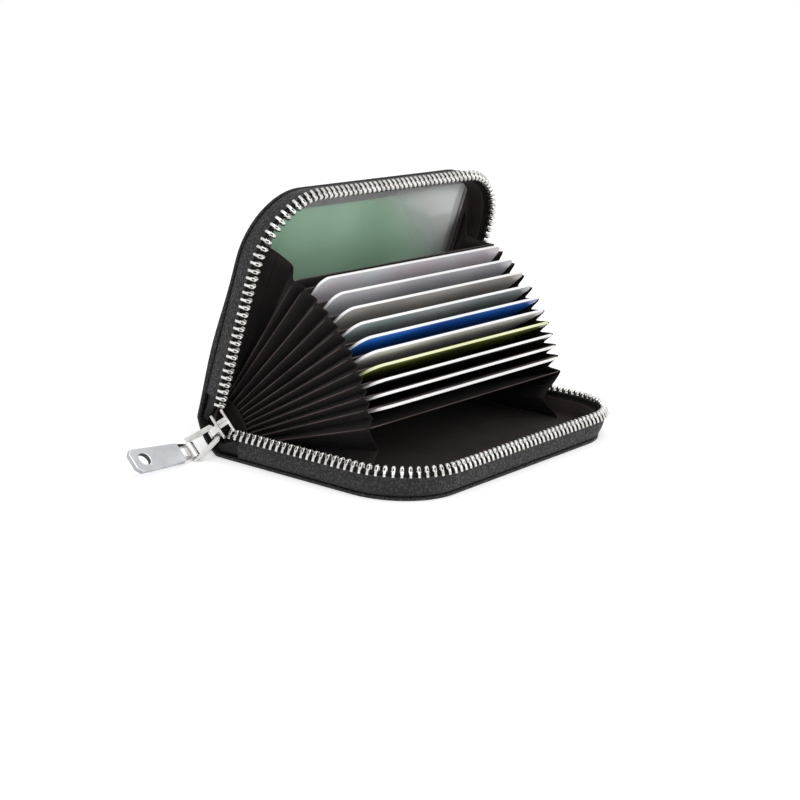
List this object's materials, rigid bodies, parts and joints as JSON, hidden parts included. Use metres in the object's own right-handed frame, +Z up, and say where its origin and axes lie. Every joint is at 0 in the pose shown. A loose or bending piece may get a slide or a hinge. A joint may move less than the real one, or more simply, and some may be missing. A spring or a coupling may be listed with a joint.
{
  "type": "zip card wallet",
  "caption": "Zip-around leather card wallet standing open, with a pleated accordion of card pockets, cards, an ID window and a hinged puller on its slider.",
  "frame": {"origin": "centre of the lower cover's flat underside, on the surface that the wallet rests on", "axes": "+X along the spine towards the end away from the zip slider, +Y from the mouth towards the spine, +Z up"},
  "size_m": [0.14, 0.076, 0.0739],
  "materials": {
    "black_grained_leather": "pebble-grained, soft sheen",
    "black_smooth_leather": "smooth, semi-gloss",
    "grey_board": "matte fibre board",
    "dark_brown_lining": "fine weave, matte",
    "black_zip_tape": "woven, matte",
    "bright_nickel": "bright nickel plate",
    "clear_film": "clear flexible film",
    "pale_green_card": "satin",
    "white_card": "satin gloss"
  },
  "bodies": {
    "lower_half": {"lower_cover": "black_grained_leather", "lower_board": "grey_board", "lower_lining": "dark_brown_lining", "lower_side_wall": "black_grained_leather", "lower_end_tab_near": "black_smooth_leather", "lower_end_tab_far": "black_smooth_leather", "lower_zip_tape": "black_zip_tape", "lower_zip_teeth": "bright_nickel", "lower_top_stop": "bright_nickel"},
    "upper_half": {"upper_cover": "black_grained_leather", "upper_board": "grey_board", "upper_lining": "dark_brown_lining", "upper_side_wall": "black_grained_leather", "upper_end_tab_near": "black_smooth_leather", "upper_end_tab_far": "black_smooth_leather", "upper_zip_tape": "black_zip_tape", "upper_zip_teeth": "bright_nickel", "upper_top_stop": "bright_nickel", "window_frame": "dark_brown_lining", "window_sheet": "clear_film", "id_card": "pale_green_card"},
    "leaf_01": {"divider_01": "dark_brown_lining"},
    "leaf_02": {"divider_02": "dark_brown_lining"},
    "leaf_03": {"divider_03": "dark_brown_lining"},
    "leaf_04": {"divider_04": "dark_brown_lining"},
    "leaf_05": {"divider_05": "dark_brown_lining"},
    "leaf_06": {"divider_06": "dark_brown_lining"},
    "leaf_07": {"divider_07": "dark_brown_lining"},
    "leaf_08": {"divider_08": "dark_brown_lining"},
    "leaf_09": {"divider_09": "dark_brown_lining"},
    "leaf_10": {"divider_10": "dark_brown_lining"},
    "leaf_11": {"divider_11": "dark_brown_lining"},
    "leaf_12": {"divider_12": "dark_brown_lining"},
    "card_01": {"card_01": "white_card"},
    "card_02": {"card_02": "white_card"},
    "card_03": {"card_03": "white_card"},
    "card_04": {"card_04": "white_card"},
    "card_05": {"card_05": "white_card"},
    "card_06": {"card_06": "white_card"},
    "card_07": {"card_07": "white_card"},
    "card_08": {"card_08": "white_card"},
    "card_09": {"card_09": "white_card"},
    "card_10": {"card_10": "white_card"},
    "spine": {"spine_panel": "black_grained_leather", "bellows_back_strip": "dark_brown_lining", "left_bellows_gusset": "dark_brown_lining", "right_bellows_gusset": "dark_brown_lining", "zip_bottom_stop": "bright_nickel"},
    "slider": {"slider_body": "bright_nickel"},
    "link": {"pull_link": "bright_nickel"},
    "tab": {"pull_tab": "bright_nickel"}
  },
  "joints": [
    {"name": "cover_hinge", "type": "hinge", "parent": "lower_half", "child": "upper_half", "pos_m": [0, 0.03125, 0.0093], "axis": [-1, 0, 0], "range_deg": [-74.5, 0]},
    {"name": "leaf_01_turn", "type": "hinge", "parent": "lower_half", "child": "leaf_01", "pos_m": [0, 0.03125, 0.0093], "axis": [-1, 0, 0], "range_deg": [-57.75, 0]},
    {"name": "leaf_02_turn", "type": "hinge", "parent": "lower_half", "child": "leaf_02", "pos_m": [0, 0.03125, 0.0093], "axis": [-1, 0, 0], "range_deg": [-53.95, 0]},
    {"name": "leaf_03_turn", "type": "hinge", "parent": "lower_half", "child": "leaf_03", "pos_m": [0, 0.03125, 0.0093], "axis": [-1, 0, 0], "range_deg": [-48.81, 0]},
    {"name": "leaf_04_turn", "type": "hinge", "parent": "lower_half", "child": "leaf_04", "pos_m": [0, 0.03125, 0.0093], "axis": [-1, 0, 0], "range_deg": [-44.34, 0]},
    {"name": "leaf_05_turn", "type": "hinge", "parent": "lower_half", "child": "leaf_05", "pos_m": [0, 0.03125, 0.0093], "axis": [-1, 0, 0], "range_deg": [-40.31, 0]},
    {"name": "leaf_06_turn", "type": "hinge", "parent": "lower_half", "child": "leaf_06", "pos_m": [0, 0.03125, 0.0093], "axis": [-1, 0, 0], "range_deg": [-36.74, 0]},
    {"name": "leaf_07_turn", "type": "hinge", "parent": "lower_half", "child": "leaf_07", "pos_m": [0, 0.03125, 0.0093], "axis": [-1, 0, 0], "range_deg": [-33.46, 0]},
    {"name": "leaf_08_turn", "type": "hinge", "parent": "lower_half", "child": "leaf_08", "pos_m": [0, 0.03125, 0.0093], "axis": [-1, 0, 0], "range_deg": [-30.33, 0]},
    {"name": "leaf_09_turn", "type": "hinge", "parent": "lower_half", "child": "leaf_09", "pos_m": [0, 0.03125, 0.0093], "axis": [-1, 0, 0], "range_deg": [-27.28, 0]},
    {"name": "leaf_10_turn", "type": "hinge", "parent": "lower_half", "child": "leaf_10", "pos_m": [0, 0.03125, 0.0093], "axis": [-1, 0, 0], "range_deg": [-24.52, 0]},
    {"name": "leaf_11_turn", "type": "hinge", "parent": "lower_half", "child": "leaf_11", "pos_m": [0, 0.03125, 0.0093], "axis": [-1, 0, 0], "range_deg": [-21.84, 0]},
    {"name": "leaf_12_turn", "type": "hinge", "parent": "lower_half", "child": "leaf_12", "pos_m": [0, 0.03125, 0.0093], "axis": [-1, 0, 0], "range_deg": [-17.52, 0]},
    {"name": "card_01_slide", "type": "slide", "parent": "leaf_02", "child": "card_01", "axis": [0, -0.5887, 0.8084], "range_m": [0, 0.045]},
    {"name": "card_02_slide", "type": "slide", "parent": "leaf_03", "child": "card_02", "axis": [0, -0.6587, 0.7524], "range_m": [0, 0.045]},
    {"name": "card_03_slide", "type": "slide", "parent": "leaf_04", "child": "card_03", "axis": [0, -0.7154, 0.6988], "range_m": [0, 0.045]},
    {"name": "card_04_slide", "type": "slide", "parent": "leaf_05", "child": "card_04", "axis": [0, -0.7626, 0.6468], "range_m": [0, 0.045]},
    {"name": "card_05_slide", "type": "slide", "parent": "leaf_06", "child": "card_05", "axis": [0, -0.8015, 0.598], "range_m": [0, 0.045]},
    {"name": "card_06_slide", "type": "slide", "parent": "leaf_07", "child": "card_06", "axis": [0, -0.8344, 0.5512], "range_m": [0, 0.045]},
    {"name": "card_07_slide", "type": "slide", "parent": "leaf_08", "child": "card_07", "axis": [0, -0.8632, 0.5049], "range_m": [0, 0.045]},
    {"name": "card_08_slide", "type": "slide", "parent": "leaf_09", "child": "card_08", "axis": [0, -0.8889, 0.4581], "range_m": [0, 0.045]},
    {"name": "card_09_slide", "type": "slide", "parent": "leaf_10", "child": "card_09", "axis": [0, -0.9099, 0.4149], "range_m": [0, 0.045]},
    {"name": "card_10_slide", "type": "slide", "parent": "leaf_11", "child": "card_10", "axis": [0, -0.9283, 0.3718], "range_m": [0, 0.045]},
    {"name": "spine_turn", "type": "hinge", "parent": "lower_half", "child": "spine", "pos_m": [0, 0.03125, 0.0093], "axis": [-1, 0, 0], "range_deg": [-37.26, 0], "deforming": ["spine_panel", "bellows_back_strip", "left_bellows_gusset", "right_bellows_gusset"]},
    {"name": "slider_slide", "type": "slide", "parent": "spine", "child": "slider", "axis": [0, -0.796, 0.6053], "range_m": [0, 0.036]},
    {"name": "link_swing", "type": "hinge", "parent": "slider", "child": "link", "pos_m": [-0.05588, 0.03166, 0.00743], "axis": [0, 0.7193, 0.6947], "range_deg": [-50, 60]},
    {"name": "tab_swing", "type": "hinge", "parent": "link", "child": "tab", "pos_m": [-0.06058, 0.03599, 0.00295], "axis": [0, 0.7193, 0.6947], "range_deg": [-115, 60]}
  ],
  "couplings": [
    {"joint": "leaf_01_turn", "follows": "cover_hinge", "ratio": 0.775},
    {"joint": "leaf_02_turn", "follows": "cover_hinge", "ratio": 0.724},
    {"joint": "leaf_03_turn", "follows": "cover_hinge", "ratio": 0.655},
    {"joint": "leaf_04_turn", "follows": "cover_hinge", "ratio": 0.595},
    {"joint": "leaf_05_turn", "follows": "cover_hinge", "ratio": 0.541},
    {"joint": "leaf_06_turn", "follows": "cover_hinge", "ratio": 0.493},
    {"joint": "leaf_07_turn", "follows": "cover_hinge", "ratio": 0.449},
    {"joint": "leaf_08_turn", "follows": "cover_hinge", "ratio": 0.407},
    {"joint": "leaf_09_turn", "follows": "cover_hinge", "ratio": 0.366},
    {"joint": "leaf_10_turn", "follows": "cover_hinge", "ratio": 0.329},
    {"joint": "leaf_11_turn", "follows": "cover_hinge", "ratio": 0.293},
    {"joint": "leaf_12_turn", "follows": "cover_hinge", "ratio": 0.235},
    {"joint": "spine_turn", "follows": "cover_hinge", "ratio": 0.5}
  ]
}
